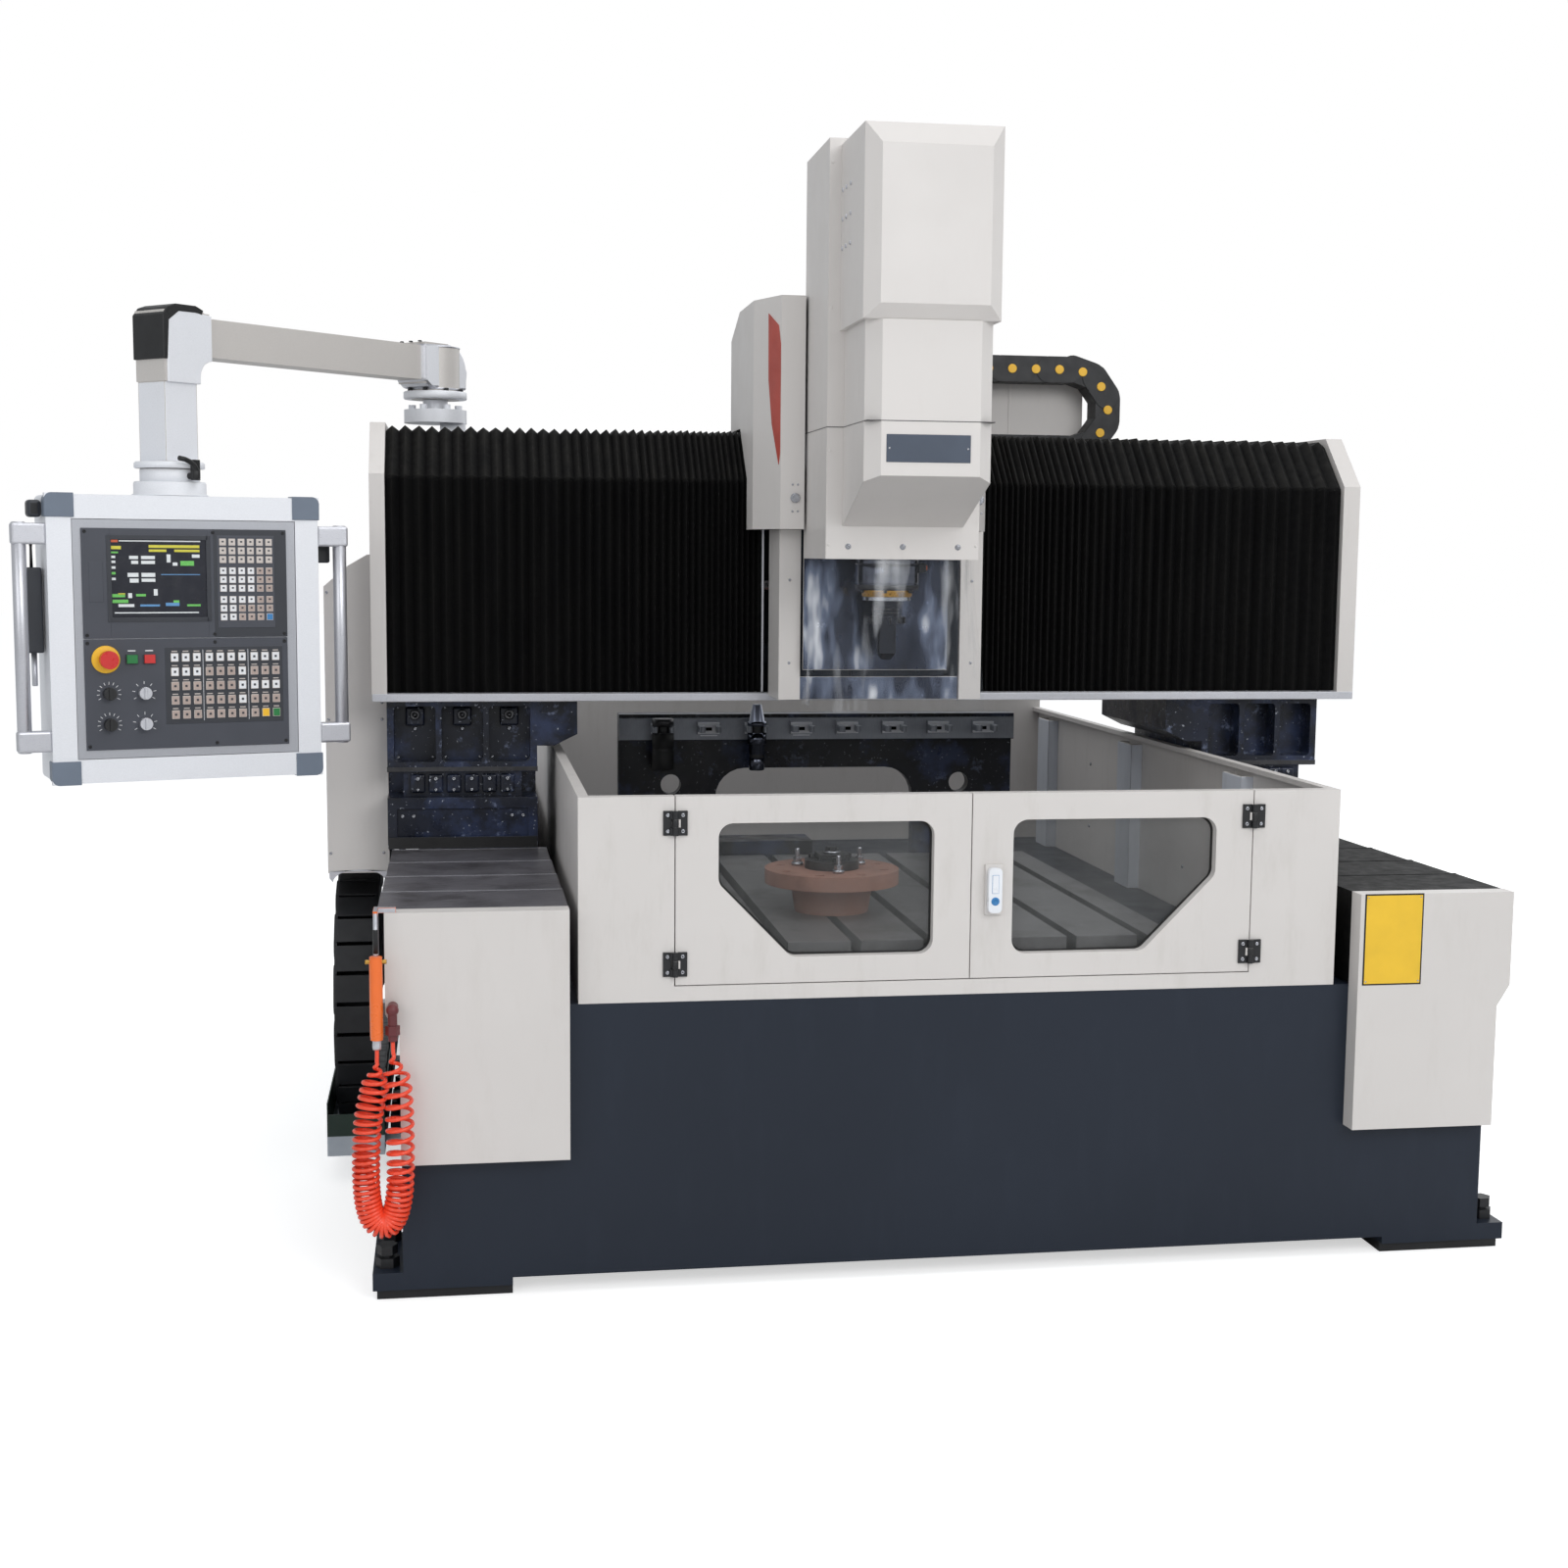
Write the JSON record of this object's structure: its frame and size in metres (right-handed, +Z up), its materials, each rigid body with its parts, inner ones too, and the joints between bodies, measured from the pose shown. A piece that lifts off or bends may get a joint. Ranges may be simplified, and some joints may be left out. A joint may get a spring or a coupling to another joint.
{
  "type": "gantry drilling and milling machine",
  "caption": "Moving-gantry drilling and milling machine with a slotted table behind glazed doors, bellows-covered beam, spindle head and swinging control pendant.",
  "frame": {"origin": "centre of the floor anchor pattern, at floor level", "axes": "+X to the operator's right, +Y away from the operator (gantry travel), +Z up"},
  "size_m": [3.1256, 2.706, 2.35],
  "materials": {
    "navy_paint": "gloss paint over casting",
    "black_iron": "oiled black",
    "table_iron": "machined, dull",
    "bright_steel": "ground",
    "beige_paint": "satin powder coat",
    "white_paint": "satin powder coat",
    "stained_steel": "worn and oily",
    "black_cover": "matte black",
    "bellows_cloth": "coated cloth folds",
    "black_plastic": "moulded",
    "glazing": "clear sheet, slightly grey",
    "film": "clear soft film",
    "raw_flange": "turned face with rust bloom",
    "dark_steel": "blackened",
    "tool_steel": "ground",
    "alu_profile": "anodised",
    "panel_grey": "brushed plate with dark control unit",
    "red_plastic": "moulded",
    "green_plastic": "moulded",
    "silver_plastic": "moulded",
    "white_plastic": "moulded",
    "orange_paint": "gloss",
    "hose_orange": "clear-tinted tube",
    "brass": "plain",
    "green_gray_tray": "satin, green inside floor"
  },
  "bodies": {
    "root": {"base_frame": "navy_paint", "levelling_feet": "black_iron", "table": "table_iron", "y_rails": "bright_steel", "way_cover_left": "stained_steel", "way_cover_right": "black_cover", "front_cover_left": "beige_paint", "front_cover_right": "beige_paint", "guard_walls": "beige_paint", "guard_front": "beige_paint", "door_hinges": "black_plastic", "rack_portal": "navy_paint", "rack_forks": "dark_steel", "rack_tools": "tool_steel", "workpiece": "raw_flange", "fixture": "dark_steel", "air_gun": "orange_paint", "air_fitting": "brass", "air_hose": "hose_orange", "chain_tray": "green_gray_tray"},
    "y_screw_left_body": {"y_screw_left": "bright_steel"},
    "y_screw_right_body": {"y_screw_right": "bright_steel"},
    "gantry": {"column_left": "navy_paint", "column_right": "navy_paint", "crossbeam": "navy_paint", "bellows_frame": "beige_paint", "bellows_left": "bellows_cloth", "bellows_right": "bellows_cloth", "side_cover": "beige_paint", "x_chain": "black_plastic", "chain_cover": "beige_paint", "y_chain": "black_plastic", "pendant_post": "white_paint"},
    "x_screw_body": {"x_screw": "bright_steel"},
    "saddle": {"saddle_plate": "navy_paint", "saddle_cover": "beige_paint", "saddle_skirt": "beige_paint"},
    "z_screw_body": {"z_screw": "bright_steel"},
    "head": {"head_box": "beige_paint", "head_cover": "beige_paint", "spindle_cartridge": "bright_steel", "curtain": "film"},
    "spindle": {"spindle_shaft": "bright_steel", "tool_holder": "tool_steel"},
    "left_door_body": {"left_door": "beige_paint", "left_window": "glazing"},
    "right_door_body": {"right_door": "beige_paint", "right_window": "glazing"},
    "handle_body": {"door_handle": "white_plastic"},
    "arm": {"pendant_arm": "white_paint"},
    "pendant": {"pendant_box": "alu_profile", "control_panel": "panel_grey"},
    "lever_body": {"clamp_lever": "black_plastic"},
    "estop_body": {"estop": "red_plastic"},
    "green_body": {"button_green": "green_plastic"},
    "red_body": {"button_red": "red_plastic"},
    "knob_a_body": {"knob_a": "black_plastic"},
    "knob_b_body": {"knob_b": "black_plastic"},
    "knob_c_body": {"knob_c": "silver_plastic"},
    "knob_d_body": {"knob_d": "silver_plastic"}
  },
  "joints": [
    {"name": "gantry_slide", "type": "slide", "parent": "root", "child": "gantry", "axis": [0, 1, 0], "range_m": [-0.25, 0.66], "deforming": ["way_cover_left", "way_cover_right", "y_chain"]},
    {"name": "y_screw_left_turn", "type": "hinge", "parent": "root", "child": "y_screw_left_body", "pos_m": [-0.917, 0, 0.735], "axis": [0, 1, 0], "continuous": true},
    {"name": "y_screw_right_turn", "type": "hinge", "parent": "root", "child": "y_screw_right_body", "pos_m": [0.877, 0, 0.735], "axis": [0, 1, 0], "continuous": true},
    {"name": "saddle_slide", "type": "slide", "parent": "gantry", "child": "saddle", "axis": [1, 0, 0], "range_m": [-0.5, 0.5], "deforming": ["bellows_left", "bellows_right", "x_chain"]},
    {"name": "x_screw_turn", "type": "hinge", "parent": "gantry", "child": "x_screw_body", "pos_m": [-0.04, -0.415, 1.405], "axis": [1, 0, 0], "continuous": true},
    {"name": "head_slide", "type": "slide", "parent": "saddle", "child": "head", "axis": [0, 0, 1], "range_m": [-0.43, 0], "deforming": ["curtain"]},
    {"name": "z_screw_turn", "type": "hinge", "parent": "saddle", "child": "z_screw_body", "pos_m": [-0.07, -0.6, 1.6], "axis": [0, 0, 1], "continuous": true},
    {"name": "spindle_turn", "type": "hinge", "parent": "head", "child": "spindle", "pos_m": [-0.07, -0.78, 1.5], "axis": [0, 0, 1], "continuous": true},
    {"name": "left_door_hinge", "type": "hinge", "parent": "root", "child": "left_door_body", "pos_m": [-0.6, -1.308, 0.8], "axis": [0, 0, 1], "range_deg": [-110, 0]},
    {"name": "right_door_hinge", "type": "hinge", "parent": "root", "child": "right_door_body", "pos_m": [0.602, -1.308, 0.8], "axis": [0, 0, 1], "range_deg": [0, 110]},
    {"name": "door_handle_turn", "type": "hinge", "parent": "right_door_body", "child": "handle_body", "pos_m": [0.05, -1.31, 0.784], "axis": [0, 1, 0], "range_deg": [0, 90]},
    {"name": "pendant_arm_swing", "type": "hinge", "parent": "gantry", "child": "arm", "pos_m": [-1.069, -0.11, 1.86], "axis": [0, 0, 1], "range_deg": [-45, 30]},
    {"name": "pendant_box_swing", "type": "hinge", "parent": "arm", "child": "pendant", "pos_m": [-1.628, -0.703, 1.64], "axis": [0, 0, 1], "range_deg": [-90, 90]},
    {"name": "clamp_lever_turn", "type": "hinge", "parent": "pendant", "child": "lever_body", "pos_m": [-1.628, -0.703, 1.634], "axis": [0.7478, -0.6639, 0], "range_deg": [-60, 60]},
    {"name": "estop_push", "type": "slide", "parent": "pendant", "child": "estop_body", "axis": [-0.3156, 0.9489, 0], "range_m": [0, 0.006]},
    {"name": "green_push", "type": "slide", "parent": "pendant", "child": "green_body", "axis": [-0.3156, 0.9489, 0], "range_m": [0, 0.003], "stiffness_N_per_m": 300},
    {"name": "red_push", "type": "slide", "parent": "pendant", "child": "red_body", "axis": [-0.3156, 0.9489, 0], "range_m": [0, 0.003], "stiffness_N_per_m": 300},
    {"name": "knob_a_turn", "type": "hinge", "parent": "pendant", "child": "knob_a_body", "pos_m": [-1.74619, -0.82768, 1.176], "axis": [-0.3156, 0.9489, 0], "range_deg": [-135, 135]},
    {"name": "knob_b_turn", "type": "hinge", "parent": "pendant", "child": "knob_b_body", "pos_m": [-1.74619, -0.82768, 1.111], "axis": [-0.3156, 0.9489, 0], "range_deg": [-135, 135]},
    {"name": "knob_c_turn", "type": "hinge", "parent": "pendant", "child": "knob_c_body", "pos_m": [-1.67787, -0.80495, 1.176], "axis": [-0.3156, 0.9489, 0], "range_deg": [-135, 135]},
    {"name": "knob_d_turn", "type": "hinge", "parent": "pendant", "child": "knob_d_body", "pos_m": [-1.67787, -0.80495, 1.111], "axis": [-0.3156, 0.9489, 0], "range_deg": [-135, 135]}
  ],
  "couplings": [
    {"joint": "y_screw_left_turn", "follows": "gantry_slide", "rad_per_m": 628.32},
    {"joint": "y_screw_right_turn", "follows": "gantry_slide", "rad_per_m": 628.32},
    {"joint": "x_screw_turn", "follows": "saddle_slide", "rad_per_m": 628.32},
    {"joint": "z_screw_turn", "follows": "head_slide", "rad_per_m": 628.32}
  ]
}
